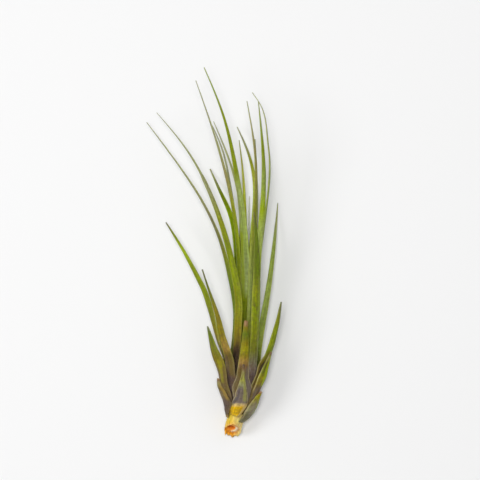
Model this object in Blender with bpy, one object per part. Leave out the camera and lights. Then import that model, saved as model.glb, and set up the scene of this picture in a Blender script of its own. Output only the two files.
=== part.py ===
"""An air plant lying on a surface: a short stem that carries thirty clasping leaves.

The plant points along +Y, its right side is +X and the side that faces the viewer is +Z. The origin
is the flat spot under the bulb on which the plant rests. Sizes here are in millimetres.
"""

import math
from collections import namedtuple

import bmesh
import bpy
import numpy as np

MM = 0.001

# The line through the middle of the stem and of the bundle of leaves, from the broken end upwards
AXIS = [
    (-4.9, -38.5, 9.0),
    (-3.3, -29.0, 10.4),
    (-1.1, -22.5, 11.3),
    (0.3, -17.0, 12.1),
    (0.9, -10.0, 13.0),
    (1.5, 0.0, 14.3),
    (2.7, 18.0, 16.7),
    (3.5, 40.0, 19.4),
    (3.6, 60.0, 21.8),
]

# The bulb: every sheath is a shell round the axis, and all shells widen alike from the stem upwards
SHELL_RADII = {
    "lowest": 14.35,
    "a": 13.2,
    "b": 12.05,
    "c": 10.9,
    "d": 9.75,
    "e": 8.6,
    "f": 7.45,
    "g": 6.3,
    "h": 5.15,
}
BULB_SLOPE = 0.45
BULB_WIDEST_AT = -8.5
BULB_SHOULDER = 3.0
SHEATH_THICKNESS = 0.72
SHEATH_GAP = 0.35
SHEATH_LENGTH = 24.0
LONGEST_OPEN_SHEATH = 34.0
SHEATH_NARROWS_OVER = 8.0
SHEATH_TURNS_OVER = 13.0
SHEATH_START_CURL = 0.92
SHEATH_WIDENS_OVER = 5.0
CLEAR_OF_BREAK = 3.0
LEVEL_STEP = 0.25

# The stem: radius at a place along the axis
STEM_RADII = [
    (-37.8, 4.6),
    (-34.0, 5.0),
    (-30.5, 4.95),
    (-28.0, 4.9),
    (-26.0, 4.65),
    (-22.0, 4.2),
    (-12.0, 2.8),
    (-2.0, 1.8),
    (9.0, 0.9),
]
STEM_SIDES_RESOLUTION = 6
STEM_RINGS = 16
BREAK_MIDDLE = (-4.3, -33.3, 9.9)
BREAK_FACES = (-0.14, -0.8, 0.58)
HOLLOW_MIDDLE = (-4.2, -32.0, 11.2)
HOLLOW_RADII = (3.7, 3.8, 3.6)
HOLLOW_SEGMENTS = 16
HOLLOW_RINGS = 10

# Blades
BLADE_CURL = math.radians(50)
CURL_LENGTH = 26.0
MARGIN_THICKNESS = 0.46
BLADE_THICKNESS = 0.62
THICKNESS_PER_WIDTH = 0.06
FACE_TURN_SHARE = 0.45
LEVELS = [-30, -26, -22, -18, -14, -10, -6, -2, 3, 9, 16, 24, 32, 40]
LEVEL_SPACING = 1.5
BLADE_STEP = 11.0
LONG_BLADE = 40.0
LONG_BLADE_POWER = 0.9
FLAT_WITHIN = 0.3

Leaf = namedtuple(
    "Leaf", "name azimuth turn shell sheath leaves_at width tip_width taper face way tip colour"
)

GREY_PURPLE = (0.19, 0.15, 0.14)
SPOTTED = (0.17, 0.14, 0.06)
OLIVE = (0.16, 0.17, 0.05)
GREEN = (0.14, 0.22, 0.02)
GREY_GREEN = (0.18, 0.24, 0.10)

# Azimuth, turn, sheath half-angle and face are in degrees round the axis, 0 towards the viewer and 90 to
# the right. Turn is how far the sheath's lower end lies round from the azimuth. A leaf leaves its shell
# at leaves_at and runs through the points of its way to its tip.
LEAVES = [
    Leaf("leaf_right_lowest", 54, 13, "lowest", 44, -20.5, 10.6, 1.5, 1.1, 44,
         [(10.2, -15.2, 18.2)], (11.9, -11.9, 18.8), OLIVE),
    Leaf("leaf_left_lowest", -72, -30, "lowest", 46, -12, 10.5, 1.4, 1.2, -70,
         [(-12.0, -9.2, 17.4)], (-12.4, -4.6, 18.3), GREY_PURPLE),
    Leaf("leaf_under_lowest", 180, 0, "lowest", 26, -7, 7.0, 1.4, 0.8, 180,
         [(0.9, 2.0, -0.1), (1.2, 8.0, 0.0), (2.0, 15.0, 0.8)], (2.6, 22.0, 2.2), OLIVE),
    Leaf("leaf_front_lowest", 0, -14, "a", 29, -11, 6.8, 1.1, 1.8, 4,
         [(1.6, -3.0, 27.2)], (1.9, 3.5, 28.5), GREY_PURPLE),
    Leaf("leaf_right_short", 60, 0, "b", 28, -11, 9.2, 1.2, 1.1, 40,
         [(12.8, -4.8, 20.2), (14.4, 0.6, 20.6)], (17.1, 9.9, 20.6), OLIVE),
    Leaf("leaf_front_broken", 0, 0, "b", 28, -1, 6.6, 2.1, 1.0, 4,
         [(2.6, 12.0, 27.9), (3.0, 20.0, 28.6)], (3.3, 27.1, 28.9), OLIVE),
    Leaf("leaf_left_short", -68, -3, "a", 31, -5, 9.6, 0.8, 0.9, -42,
         [(-12.2, 3.0, 18.0), (-14.6, 9.7, 17.6), (-16.5, 17.8, 16.4)], (-17.9, 23.5, 15.2), GREEN),
    Leaf("leaf_under_right_short", 148, 0, "b", 19, -4, 5.0, 0.8, 0.8, 150,
         [(7.8, 6.0, 4.0), (7.8, 15.0, 4.4)], (7.5, 25.0, 5.0), OLIVE),
    Leaf("leaf_under_left_short", 218, 0, "b", 19, -4, 5.0, 0.8, 0.8, 210,
         [(-4.9, 6.0, 3.6), (-3.4, 15.0, 3.2)], (-1.5, 25.0, 3.2), OLIVE),
    Leaf("leaf_left_spotted", -49, 0, "c", 29, 3, 7.9, 0.7, 1.7, -25,
         [(-10.0, 16.5, 23.0), (-11.7, 25.7, 23.6), (-16.4, 41.8, 23.9)], (-20.5, 54.5, 23.0), SPOTTED),
    Leaf("leaf_right_curved", 65, 0, "c", 34, 1, 6.6, 0.7, 0.8, 42,
         [(14.6, 5.7, 17.8), (18.6, 16.5, 21.0), (21.0, 27.2, 23.7)], (22.4, 37.0, 25.2), GREEN),
    Leaf("leaf_right_outer", 128, 0, "c", 21, 4, 4.8, 0.7, 0.75, 150,
         [(12.4, 21.4, 9.2), (15.8, 43.1, 9.0), (18.6, 64.9, 6.6), (20.3, 83.0, 2.4)],
         (20.9, 90.7, 0.0), GREEN),
    Leaf("leaf_left_slim", -100, 0, "c", 20, 4, 5.4, 0.7, 0.85, -35,
         [(-11.0, 11.0, 13.8), (-13.2, 17.3, 14.3), (-19.5, 41.7, 17.0), (-24.6, 52.5, 17.6),
          (-29.8, 62.5, 17.4)],
         (-40.4, 79.9, 15.6), GREEN),
    Leaf("leaf_under_pale", 175, 0, "c", 13, 10, 2.6, 0.6, 0.6, 178,
         [(4.6, 30.0, 6.4), (4.9, 56.8, 6.6), (4.8, 73.1, 5.8)], (5.2, 94.5, 3.4), GREY_GREEN),
    Leaf("leaf_under_middle", 212, 0, "c", 15, 4, 4.4, 0.7, 0.7, 200,
         [(-2.8, 20.0, 6.7), (-1.9, 40.0, 5.6)], (-1.5, 58.0, 3.2), OLIVE),
    Leaf("leaf_front_spotted", 34, 0, "d", 27, 38, 5.2, 0.8, 0.7, 22,
         [(9.4, 54.2, 28.8), (9.2, 65.0, 29.8), (8.5, 76.0, 30.3)], (7.5, 85.5, 30.2), SPOTTED),
    Leaf("leaf_left_broad", -27, 0, "d", 26, 34, 4.5, 0.7, 1.15, -15,
         [(-3.8, 54.3, 28.6), (-6.2, 65.0, 28.6), (-9.1, 75.8, 28.2), (-17.0, 97.4, 25.2),
          (-27.0, 116.4, 20.8)], (-45.3, 139.6, 15.0), SPOTTED),
    Leaf("leaf_left_resting", 210, 0, "d", 19, 30, 5.2, 0.7, 0.75, 190,
         [(-1.2, 51.0, 10.2), (-2.4, 70.4, 8.4), (-5.5, 84.6, 5.9), (-9.3, 93.4, 3.6)],
         (-16.5, 109.4, 0.0), GREEN),
    Leaf("leaf_under_right_long", 165, 0, "d", 19, 30, 4.4, 0.7, 0.8, 170,
         [(6.4, 57.0, 10.6), (7.3, 76.0, 10.2), (8.2, 99.0, 9.2), (4.9, 117.0, 6.6)],
         (-1.6, 132.4, 3.0), OLIVE),
    Leaf("leaf_right_broad", 48, 0, "e", 24, 38, 5.2, 0.7, 0.9, 25,
         [(10.2, 56.0, 25.4), (11.2, 72.0, 27.3), (12.7, 92.0, 30.5), (12.8, 113.0, 32.8),
          (12.0, 124.0, 33.3)], (9.9, 144.8, 32.0), GREEN),
    Leaf("leaf_left_fine", 195, 0, "e", 12, 32, 2.4, 0.6, 0.7, 185,
         [(1.2, 52.0, 11.9), (0.6, 68.0, 13.0), (-0.2, 90.0, 16.6), (-4.1, 108.3, 20.5)],
         (-14.3, 134.3, 24.0), OLIVE),
    Leaf("leaf_centre_fine", 165, 0, "e", 12, 32, 2.6, 0.6, 0.6, 172,
         [(4.0, 52.0, 12.8), (3.1, 70.0, 14.8), (2.5, 92.0, 17.8), (0.9, 113.7, 20.0)],
         (-0.5, 124.5, 20.3), GREEN),
    Leaf("leaf_left_far", -54, 0, "f", 17, 28, 5.0, 0.7, 1.9, -50,
         [(-5.8, 48.8, 20.6), (-11.3, 70.4, 20.8), (-21.6, 92.6, 20.0), (-32.5, 109.4, 18.5)],
         (-50.8, 134.2, 15.0), OLIVE),
    Leaf("leaf_right_slim", 97, 0, "f", 22, 34, 3.4, 0.7, 0.8, 75,
         [(11.4, 59.6, 20.6), (13.1, 75.0, 23.7), (15.2, 92.0, 28.0), (16.3, 113.0, 31.8),
          (15.2, 124.0, 32.4), (12.0, 141.3, 30.6)], (6.7, 149.7, 29.0), GREEN),
    Leaf("leaf_left_finest", 210, 0, "f", 10, 32, 1.8, 0.6, 0.5, 200,
         [(-0.4, 52.0, 14.2), (-1.6, 70.0, 15.4), (-3.9, 90.0, 16.6), (-6.0, 103.0, 17.6),
          (-9.9, 120.0, 18.8)], (-15.1, 132.3, 20.0), OLIVE),
    Leaf("leaf_centre_longest", 180, 0, "g", 32, 32, 6.3, 0.7, 1.35, 180,
         [(3.2, 55.0, 17.0), (2.4, 70.4, 20.2), (0.3, 92.0, 25.0), (-3.2, 113.3, 29.2),
          (-8.3, 135.0, 32.6)], (-19.2, 162.6, 34.0), GREY_GREEN),
    Leaf("leaf_left_upper", -55, 0, "g", 26, 34, 4.2, 0.7, 1.35, -35,
         [(-1.3, 54.0, 23.3), (-1.8, 68.0, 24.6), (-3.6, 85.0, 27.4), (-7.2, 102.6, 29.8),
          (-13.1, 124.0, 32.0)], (-23.8, 155.7, 33.0), OLIVE),
    Leaf("leaf_heart_right", 27, 0, "h", 26, 34, 3.3, 0.6, 0.85, 30,
         [(6.1, 50.0, 24.0), (7.2, 70.4, 25.8), (8.6, 92.0, 28.6), (8.6, 113.0, 30.6)],
         (3.8, 144.9, 30.5), OLIVE),
    Leaf("leaf_heart_short", 88, 0, "h", 20, 34, 2.4, 0.6, 0.6, 75,
         [(8.5, 52.0, 20.6), (9.2, 70.4, 22.4), (9.7, 94.6, 25.8)], (8.3, 124.7, 27.3), GREY_GREEN),
    Leaf("leaf_heart_young", -100, 0, "h", 16, 30, 2.2, 0.6, 0.6, -95,
         [(-1.4, 50.0, 20.6)], (-1.2, 72.0, 21.6), GREEN),
]


def mix(a, b, share):
    return a + (b - a) * share


def ease(share):
    """0 to 1 with a soft start and end."""
    share = min(1.0, max(0.0, share))
    return share * share * (3 - 2 * share)


def unit(vector):
    return vector / np.linalg.norm(vector)


class SmoothCurve:
    """A natural cubic spline through points, read by the distance along its chords."""

    def __init__(self, points):
        self.points = np.array(points, float)
        steps = np.linalg.norm(np.diff(self.points, axis=0), axis=1)
        self.at = np.concatenate([[0.0], np.cumsum(steps)])
        count = len(self.points)
        matrix = np.eye(count)
        right = np.zeros((count, 3))
        for i in range(1, count - 1):
            before, after = steps[i - 1], steps[i]
            matrix[i, i - 1 : i + 2] = before, 2 * (before + after), after
            rise_after = (self.points[i + 1] - self.points[i]) / after
            rise_before = (self.points[i] - self.points[i - 1]) / before
            right[i] = 6 * (rise_after - rise_before)
        self.bend = np.linalg.solve(matrix, right)

    def span(self, where):
        i = int(np.searchsorted(self.at, where, side="right")) - 1
        i = min(max(i, 0), len(self.at) - 2)
        width = self.at[i + 1] - self.at[i]
        return i, width, (where - self.at[i]) / width

    def point(self, where):
        i, width, share = self.span(where)
        rest = 1 - share
        bends = (rest**3 - rest) * self.bend[i] + (share**3 - share) * self.bend[i + 1]
        return rest * self.points[i] + share * self.points[i + 1] + bends * width**2 / 6

    def direction(self, where):
        i, width, share = self.span(where)
        rest = 1 - share
        chord = (self.points[i + 1] - self.points[i]) / width
        bends = (3 * share**2 - 1) * self.bend[i + 1] - (3 * rest**2 - 1) * self.bend[i]
        return unit(chord + bends * width / 6)


AXIS_CURVE = SmoothCurve(AXIS)


def axis_frame(level):
    """The axis's point at the height level along Y, with its direction there."""
    low, high = 0.0, AXIS_CURVE.at[-1]
    for _ in range(40):
        middle = (low + high) / 2
        if AXIS_CURVE.point(middle)[1] < level:
            low = middle
        else:
            high = middle
    return AXIS_CURVE.point(low), AXIS_CURVE.direction(low)


def radial(along, azimuth):
    """The direction square to along that lies at the azimuth, in degrees."""
    right = unit(np.array([1.0, 0.0, 0.0]) - along[0] * along)
    up = np.cross(right, along)
    turn = math.radians(azimuth)
    return math.sin(turn) * right + math.cos(turn) * up


def stem_radius(level):
    places = [place for place, _ in STEM_RADII]
    return float(np.interp(level, places, [radius for _, radius in STEM_RADII]))


def shell_radius(shell, level):
    """Outer radius of a shell of sheaths, which narrows towards the stem."""
    below = (BULB_WIDEST_AT - level) / BULB_SHOULDER
    return SHELL_RADII[shell] - BULB_SLOPE * BULB_SHOULDER * math.log1p(math.exp(below))


def sheath_start(leaf):
    """The lowest level at which the leaf's shell is clear of the stem."""
    level = BREAK_MIDDLE[1] + CLEAR_OF_BREAK
    while shell_radius(leaf.shell, level) - SHEATH_THICKNESS - SHEATH_GAP < stem_radius(level):
        level += LEVEL_STEP
    return level


Section = namedtuple("Section", "centre outward across width curl thickness")


def sheath_sections(leaf):
    """The sections of the leaf inside the bundle: arcs round the axis, square to it."""
    start = sheath_start(leaf)
    last_radius = shell_radius(leaf.shell, leaf.leaves_at)
    blade_angle = math.asin(leaf.width / 2 / last_radius)
    sheath_angle = math.radians(leaf.sheath)
    length = leaf.leaves_at - start
    broad_until = start + (length if length < LONGEST_OPEN_SHEATH else SHEATH_LENGTH)
    narrows_over = min(SHEATH_NARROWS_OVER, length)
    first, last = start + LEVEL_SPACING, leaf.leaves_at - LEVEL_SPACING
    between = [level for level in LEVELS if first < level < last]
    sections = []
    for level in [start, *between, leaf.leaves_at]:
        centre, along = axis_frame(level)
        radius = shell_radius(leaf.shell, level)
        narrowed = ease((level - broad_until) / narrows_over + 1)
        curl = mix(sheath_angle, blade_angle, narrowed)
        curl *= mix(SHEATH_START_CURL, 1.0, ease((level - start) / SHEATH_WIDENS_OVER))
        turned = leaf.turn * (1 - ease((level - start) / SHEATH_TURNS_OVER))
        outward = radial(along, leaf.azimuth + turned)
        sections.append(
            Section(
                centre + radius * outward,
                outward,
                np.cross(along, outward),
                2 * radius * math.sin(curl),
                curl,
                SHEATH_THICKNESS,
            )
        )
    return sections


def blade_sections(leaf, sheath):
    """The free part of the leaf, from where it leaves the bundle to its tip."""
    through = [section.centre for section in sheath[-4:]]
    curve = SmoothCurve(through + [np.array(point) for point in [*leaf.way, leaf.tip]])
    start = curve.at[len(through) - 1]
    length = curve.at[-1] - start
    count = max(4, round(length / BLADE_STEP) + 2)
    first = sheath[-1]
    sections = []
    for i in range(1, count + 1):
        share = i / count
        if length > LONG_BLADE:
            share = 1 - (1 - share) ** LONG_BLADE_POWER
        along = curve.direction(start + share * length)
        azimuth = mix(leaf.azimuth, leaf.face, ease(share / FACE_TURN_SHARE))
        outward = radial(along, azimuth)
        left = max(0.0, 1 - share) ** leaf.taper
        width = mix(leaf.tip_width, leaf.width, left)
        curl = mix(first.curl, BLADE_CURL, ease(share * length / CURL_LENGTH))
        thickness = mix(
            SHEATH_THICKNESS,
            BLADE_THICKNESS + THICKNESS_PER_WIDTH * width,
            ease(share * length / CURL_LENGTH),
        )
        centre = curve.point(start + share * length)
        sections.append(
            Section(centre, outward, np.cross(along, outward), width, curl, thickness)
        )
    return sections


def section_ring(section):
    """Eight points round a channelled section: five on its outer arc and three in its channel."""
    radius = section.width / 2 / math.sin(section.curl)
    margin = min(MARGIN_THICKNESS, section.thickness)
    outer = [(-1.0, 0.0), (-0.5, 0.0), (0.0, 0.0), (0.5, 0.0), (1.0, 0.0)]
    inner = [(0.8, margin), (0.0, section.thickness), (-0.8, margin)]
    ring = []
    for part, depth in outer + inner:
        turn = part * section.curl
        ring.append(
            section.centre
            + section.across * radius * math.sin(turn)
            - section.outward * (radius * (1 - math.cos(turn)) + depth)
        )
    return ring


def plain_material(name, colour, roughness=0.6):
    material = bpy.data.materials.new(name)
    material.use_nodes = True
    shader = material.node_tree.nodes["Principled BSDF"]
    shader.inputs["Base Color"].default_value = (*colour, 1.0)
    shader.inputs["Roughness"].default_value = roughness
    shader.inputs["Metallic"].default_value = 0.0
    return material


def add_object(name, mesh, material, collection):
    piece = bpy.data.objects.new(name, mesh)
    piece.data.materials.append(material)
    piece.data.shade_smooth()
    piece.data.set_sharp_from_angle(angle=math.radians(50))
    collection.objects.link(piece)
    return piece


def leaf_mesh(name, sections):
    """A loft through the sections' rings, closed at both ends."""
    rings = [section_ring(section) for section in sections]
    points = []
    for ring in rings:
        for x, y, z in ring:
            points.append((x * MM, y * MM, max(z, 0.0) * MM))
    size = len(rings[0])
    faces = []
    for i in range(len(rings) - 1):
        low, high = i * size, (i + 1) * size
        for j in range(size):
            after = (j + 1) % size
            faces.append((low + j, low + after, high + after, high + j))
    end_faces = [(0, 1, 7), (1, 2, 6, 7), (2, 3, 5, 6), (3, 4, 5)]
    top = (len(rings) - 1) * size
    for face in end_faces:
        faces.append(tuple(reversed(face)))
        faces.append(tuple(top + corner for corner in face))
    mesh = bpy.data.meshes.new(name)
    mesh.from_pydata(points, [], faces)
    mesh.update()
    return mesh


def press_flat(mesh):
    """The rest spot: what comes close to the surface under the bulb is pressed level with it."""
    for vertex in mesh.vertices:
        if vertex.co.z < FLAT_WITHIN * MM:
            vertex.co.z = 0.0


def make_leaf(leaf, collection):
    sheath = sheath_sections(leaf)
    mesh = leaf_mesh(leaf.name, sheath + blade_sections(leaf, sheath))
    if leaf.name == "leaf_under_lowest":
        press_flat(mesh)
    return add_object(leaf.name, mesh, plain_material(leaf.name + "_skin", leaf.colour), collection)


def stem_tube():
    """The stem as a tube of changing radius along the axis, welded into one closed mesh."""
    curve = bpy.data.curves.new("stem_line", "CURVE")
    curve.dimensions = "3D"
    curve.bevel_depth = MM
    curve.bevel_resolution = STEM_SIDES_RESOLUTION
    curve.use_fill_caps = True
    spline = curve.splines.new("POLY")
    levels = np.linspace(STEM_RADII[0][0], STEM_RADII[-1][0], STEM_RINGS)
    spline.points.add(len(levels) - 1)
    for point, level in zip(spline.points, levels):
        centre, _ = axis_frame(level)
        point.co = (*(centre * MM), 1.0)
        point.radius = stem_radius(level)
    line = bpy.data.objects.new("stem_line", curve)
    bpy.context.scene.collection.objects.link(line)
    evaluated = line.evaluated_get(bpy.context.evaluated_depsgraph_get())
    mesh = bpy.data.meshes.new_from_object(evaluated)
    bpy.data.objects.remove(line)
    return mesh


def break_off(mesh):
    """Cuts the stem's lower end along a slant plane and closes the cut."""
    shape = bmesh.new()
    shape.from_mesh(mesh)
    bmesh.ops.remove_doubles(shape, verts=shape.verts, dist=0.02 * MM)
    cut = bmesh.ops.bisect_plane(
        shape,
        geom=[*shape.verts, *shape.edges, *shape.faces],
        plane_co=np.array(BREAK_MIDDLE) * MM,
        plane_no=BREAK_FACES,
        clear_outer=True,
    )
    edges = [item for item in cut["geom_cut"] if isinstance(item, bmesh.types.BMEdge)]
    bmesh.ops.contextual_create(shape, geom=edges)
    bmesh.ops.recalc_face_normals(shape, faces=shape.faces)
    shape.to_mesh(mesh)
    shape.free()


def hollow_cutter(collection):
    """The hollow in the broken end: a ball drawn out along the stem."""
    shape = bmesh.new()
    bmesh.ops.create_uvsphere(
        shape, u_segments=HOLLOW_SEGMENTS, v_segments=HOLLOW_RINGS, radius=MM
    )
    bmesh.ops.scale(shape, vec=HOLLOW_RADII, verts=shape.verts)
    bmesh.ops.translate(shape, vec=np.array(HOLLOW_MIDDLE) * MM, verts=shape.verts)
    mesh = bpy.data.meshes.new("stem_hollow")
    shape.to_mesh(mesh)
    shape.free()
    cutter = bpy.data.objects.new("stem_hollow", mesh)
    cutter.hide_render = True
    cutter.display_type = "WIRE"
    collection.objects.link(cutter)
    return cutter


def make_stem(plant, cutters):
    mesh = stem_tube()
    break_off(mesh)
    mesh.materials.clear()
    stem = add_object("stem", mesh, plain_material("stem_flesh", (0.65, 0.36, 0.02), 0.5), plant)
    hollow = stem.modifiers.new("hollow", "BOOLEAN")
    hollow.operation = "DIFFERENCE"
    hollow.object = hollow_cutter(cutters)
    return stem


def main():
    for old in list(bpy.data.objects):
        bpy.data.objects.remove(old)
    plant = bpy.data.collections.new("air_plant")
    cutters = bpy.data.collections.new("cutters")
    for collection in (plant, cutters):
        bpy.context.scene.collection.children.link(collection)
    make_stem(plant, cutters)
    for leaf in LEAVES:
        make_leaf(leaf, plant)


main()
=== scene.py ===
import math
from functools import partial

import bpy
import numpy as np
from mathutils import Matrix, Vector, noise


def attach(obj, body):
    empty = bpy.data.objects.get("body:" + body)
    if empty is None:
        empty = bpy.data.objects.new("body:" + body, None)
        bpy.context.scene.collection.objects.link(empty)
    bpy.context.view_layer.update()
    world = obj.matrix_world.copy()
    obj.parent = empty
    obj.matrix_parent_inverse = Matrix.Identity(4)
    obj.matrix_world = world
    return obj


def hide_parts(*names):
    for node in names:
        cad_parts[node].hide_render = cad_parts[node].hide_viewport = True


# The looks of an air plant that lies on a surface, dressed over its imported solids.
# Lengths in the dictionaries are in millimetres and angles in degrees. The plant points along +Y.
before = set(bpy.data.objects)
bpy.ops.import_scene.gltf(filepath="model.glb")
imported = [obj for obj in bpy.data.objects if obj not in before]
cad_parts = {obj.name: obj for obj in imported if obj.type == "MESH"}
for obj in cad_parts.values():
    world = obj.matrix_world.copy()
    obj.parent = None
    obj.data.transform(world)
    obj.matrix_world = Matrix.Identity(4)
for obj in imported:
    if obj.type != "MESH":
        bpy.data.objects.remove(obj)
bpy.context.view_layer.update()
mm = 0.001
scene = bpy.context.scene
print("frame loaded with", len(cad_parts), "nodes")


def linearColour(code):
    values = [int(code[i:i + 2], 16) / 255 for i in (0, 2, 4)]
    return tuple(v / 12.92 if v <= 0.04045 else ((v + 0.055) / 1.055) ** 2.4 for v in values) + (1.0,)


def addNode(tree, kind, *values, **settings):
    # a kind in capitals is an operation of a Math node, and shader nodes go without their prefix;
    # values fill the inputs in order, or by key where they come as one dictionary
    if kind.isupper():
        kind, settings = "Math", {"operation": kind}
    node = tree.nodes.new(kind if "Node" in kind else "ShaderNode" + kind)
    for name, value in settings.items():
        setattr(node, name, value)
    keyed = len(values) == 1 and isinstance(values[0], dict)
    for key, value in values[0].items() if keyed else enumerate(values):
        if isinstance(value, bpy.types.Node):
            value = value.outputs[0]
        if isinstance(value, bpy.types.NodeSocket):
            tree.links.new(value, node.inputs[key])
        else:
            node.inputs[key].default_value = value
    return node


def newPiece(name, data):
    piece = bpy.data.objects.new(name, data)
    scene.collection.objects.link(piece)
    return piece


def newFinish(name, values):
    material = bpy.data.materials.new(name)
    material.use_nodes = True
    shader = material.node_tree.nodes["Principled BSDF"].inputs
    for label, value in values.items():
        shader[label].default_value = value
    return material, material.node_tree, shader


def mix(a, b, share):
    return a + (b - a) * share


def ease(share):
    share = min(1.0, max(0.0, share))
    return share * share * (3 - 2 * share)


def unit(vector):
    return vector / np.linalg.norm(vector)


def halved(low, high, isBelow, times=40):
    # closes in on the place in a range up to which isBelow holds
    for _ in range(times):
        middle = (low + high) / 2
        low, high = (middle, high) if isBelow(middle) else (low, middle)
    return low


# The form: every sheath is a shell round one curved axis, and all shells widen alike from the stem upwards.
bulb = {
    "axis": [
        (-4.9, -38.5, 9.0), (-3.3, -29.0, 10.4), (-1.1, -22.5, 11.3),
        (0.3, -17.0, 12.1), (0.9, -10.0, 13.0), (1.5, 0.0, 14.3),
        (2.7, 18.0, 16.7), (3.5, 40.0, 19.4), (3.6, 60.0, 21.8),
    ],
    "shells": {
        "lowest": 14.35, "a": 13.2, "b": 12.05, "c": 10.9, "d": 9.75,
        "e": 8.6, "f": 7.45, "g": 6.3, "h": 5.15,
    },
    "slope": 0.45,
    "widestAt": -8.5,
    "shoulder": 3.0,
    "sheathThickness": 0.72,
    "sheathGap": 0.35,
    "clearOfBreak": 3.0,
    "startStep": 0.25,
    "tuck": 0.45,
    "sheathLength": 24.0,
    "longestOpenSheath": 34.0,
    "narrowsOver": 8.0,
    "turnsOver": 13.0,
    "startCurl": 0.92,
    "widensOver": 5.0,
    "joinsOver": 3.2,
    "joinDepth": 0.67,
    "joinThinner": 0.5,
    "levels": [-30, -26, -22, -18, -14, -10, -6, -2, 3, 9, 16, 24, 32, 40],
    "levelSpacing": 1.5,
    "levelsInCurve": 4,
    "fewestRows": 4,
}

stem = {
    "radii": [
        (-37.8, 4.6), (-34.0, 5.0), (-30.5, 4.95), (-28.0, 4.9), (-26.0, 4.65),
        (-22.0, 4.2), (-12.0, 2.8), (-2.0, 1.8), (9.0, 0.9),
    ],
    "breakMiddle": (-4.3, -33.3, 9.9),
    "breakFaces": (-0.14, -0.8, 0.58),
    "hollowMiddle": (-4.2, -32.0, 11.2),
    "hollowDepth": 3.9,
}


class SmoothCurve:
    # a natural cubic spline through points, read by the distance along its chords
    def __init__(self, points):
        self.points = np.array(points, float)
        steps = np.linalg.norm(np.diff(self.points, axis=0), axis=1)
        self.at = np.concatenate([[0.0], np.cumsum(steps)])
        count = len(self.points)
        matrix = np.eye(count)
        right = np.zeros((count, 3))
        for i in range(1, count - 1):
            before, after = steps[i - 1], steps[i]
            matrix[i, i - 1:i + 2] = before, 2 * (before + after), after
            rise = (self.points[i + 1] - self.points[i]) / after
            right[i] = 6 * (rise - (self.points[i] - self.points[i - 1]) / before)
        self.bend = np.linalg.solve(matrix, right)

    def span(self, where):
        i = int(np.searchsorted(self.at, where, side="right")) - 1
        i = min(max(i, 0), len(self.at) - 2)
        width = self.at[i + 1] - self.at[i]
        return i, width, (where - self.at[i]) / width

    def point(self, where):
        i, width, share = self.span(where)
        rest = 1 - share
        bends = (rest**3 - rest) * self.bend[i] + (share**3 - share) * self.bend[i + 1]
        return rest * self.points[i] + share * self.points[i + 1] + bends * width**2 / 6

    def direction(self, where):
        i, width, share = self.span(where)
        rest = 1 - share
        chord = (self.points[i + 1] - self.points[i]) / width
        bends = (3 * share**2 - 1) * self.bend[i + 1] - (3 * rest**2 - 1) * self.bend[i]
        return unit(chord + bends * width / 6)


axisCurve = SmoothCurve(bulb["axis"])


def axisFrame(level):
    # the axis where it passes a level along Y, and its direction there
    where = halved(0.0, axisCurve.at[-1], lambda at: axisCurve.point(at)[1] < level)
    return axisCurve.point(where), axisCurve.direction(where)


def radial(along, azimuth):
    # away from the axis: 0 degrees is up, towards the camera, and 90 is to the right
    right = unit(np.array([1.0, 0.0, 0.0]) - along[0] * along)
    up = np.cross(right, along)
    turn = math.radians(azimuth)
    return math.sin(turn) * right + math.cos(turn) * up


def stemRadius(level):
    return float(np.interp(level, *zip(*stem["radii"])))


def shellRadius(shell, level):
    below = (bulb["widestAt"] - level) / bulb["shoulder"]
    return bulb["shells"][shell] - bulb["slope"] * bulb["shoulder"] * math.log1p(math.exp(below))


def sheathStart(shell):
    # the first level where the shell is clear of the stem
    level = stem["breakMiddle"][1] + bulb["clearOfBreak"]
    while shellRadius(shell, level) - bulb["sheathThickness"] - bulb["sheathGap"] < stemRadius(level):
        level += bulb["startStep"]
    return level


def makeSection(centre, along, outward, width, curl, thickness, tuck):
    return {
        "centre": centre, "forward": along, "outward": outward, "across": np.cross(along, outward),
        "width": width, "curl": curl, "thickness": thickness, "tuck": tuck,
    }


def sheathSection(leaf, start, level):
    azimuth, turn, shell, halfAngle, leavesAt = leaf["sheath"]
    bladeAngle = math.asin(leaf["blade"][0] / 2 / shellRadius(shell, leavesAt))
    length = leavesAt - start
    broadUntil = start + (length if length < bulb["longestOpenSheath"] else bulb["sheathLength"])
    narrowed = ease((level - broadUntil) / min(bulb["narrowsOver"], length) + 1)
    curl = mix(math.radians(halfAngle), bladeAngle, narrowed)
    curl *= mix(bulb["startCurl"], 1.0, ease((level - start) / bulb["widensOver"]))
    centre, along = axisFrame(level)
    turned = turn * (1 - ease((level - start) / bulb["turnsOver"]))
    outward = radial(along, azimuth + turned)
    radius = shellRadius(shell, level)
    centre = centre + radius * outward
    width = 2 * radius * math.sin(curl)
    tuck = leaf.get("tuck", bulb["tuck"])
    return makeSection(centre, along, outward, width, curl, bulb["sheathThickness"], tuck)


def joinStem(section, share):
    # the lower end of a sheath thins out and lies against the stem
    radius = section["width"] / 2 / math.sin(section["curl"])
    section["centre"] = section["centre"] - bulb["joinDepth"] * share * section["outward"]
    section["width"] *= 1 - bulb["joinDepth"] * share / radius
    section["thickness"] *= 1 - bulb["joinThinner"] * share
    return section


blade = {
    "curl": 50,
    "curlLength": 26.0,
    "thickness": 0.62,
    "thicknessPerWidth": 0.06,
    "faceTurnShare": 0.45,
    "tipFineness": 0.6,
    "finenessPower": 5,
    "rowStep": 1.3,
    "fewestRows": 10,
    "pointsRound": 24,
    "waveHeight": 0.5,
    "waveLength": 9.0,
    # the cross-section: how squarely the channel is cut, and how fast the margins tuck in
    "channelPower": 0.6,
    "tuckPower": 4,
    # cells of the noise across half a blade
    "waveAcross": 0.6,
    "tearAcross": 2.4,
    "tearMiddle": 0.55,
    "tearFade": 0.34,
    "mergeWithin": 0.002,
    "sharpFrom": 70,
}


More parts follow.
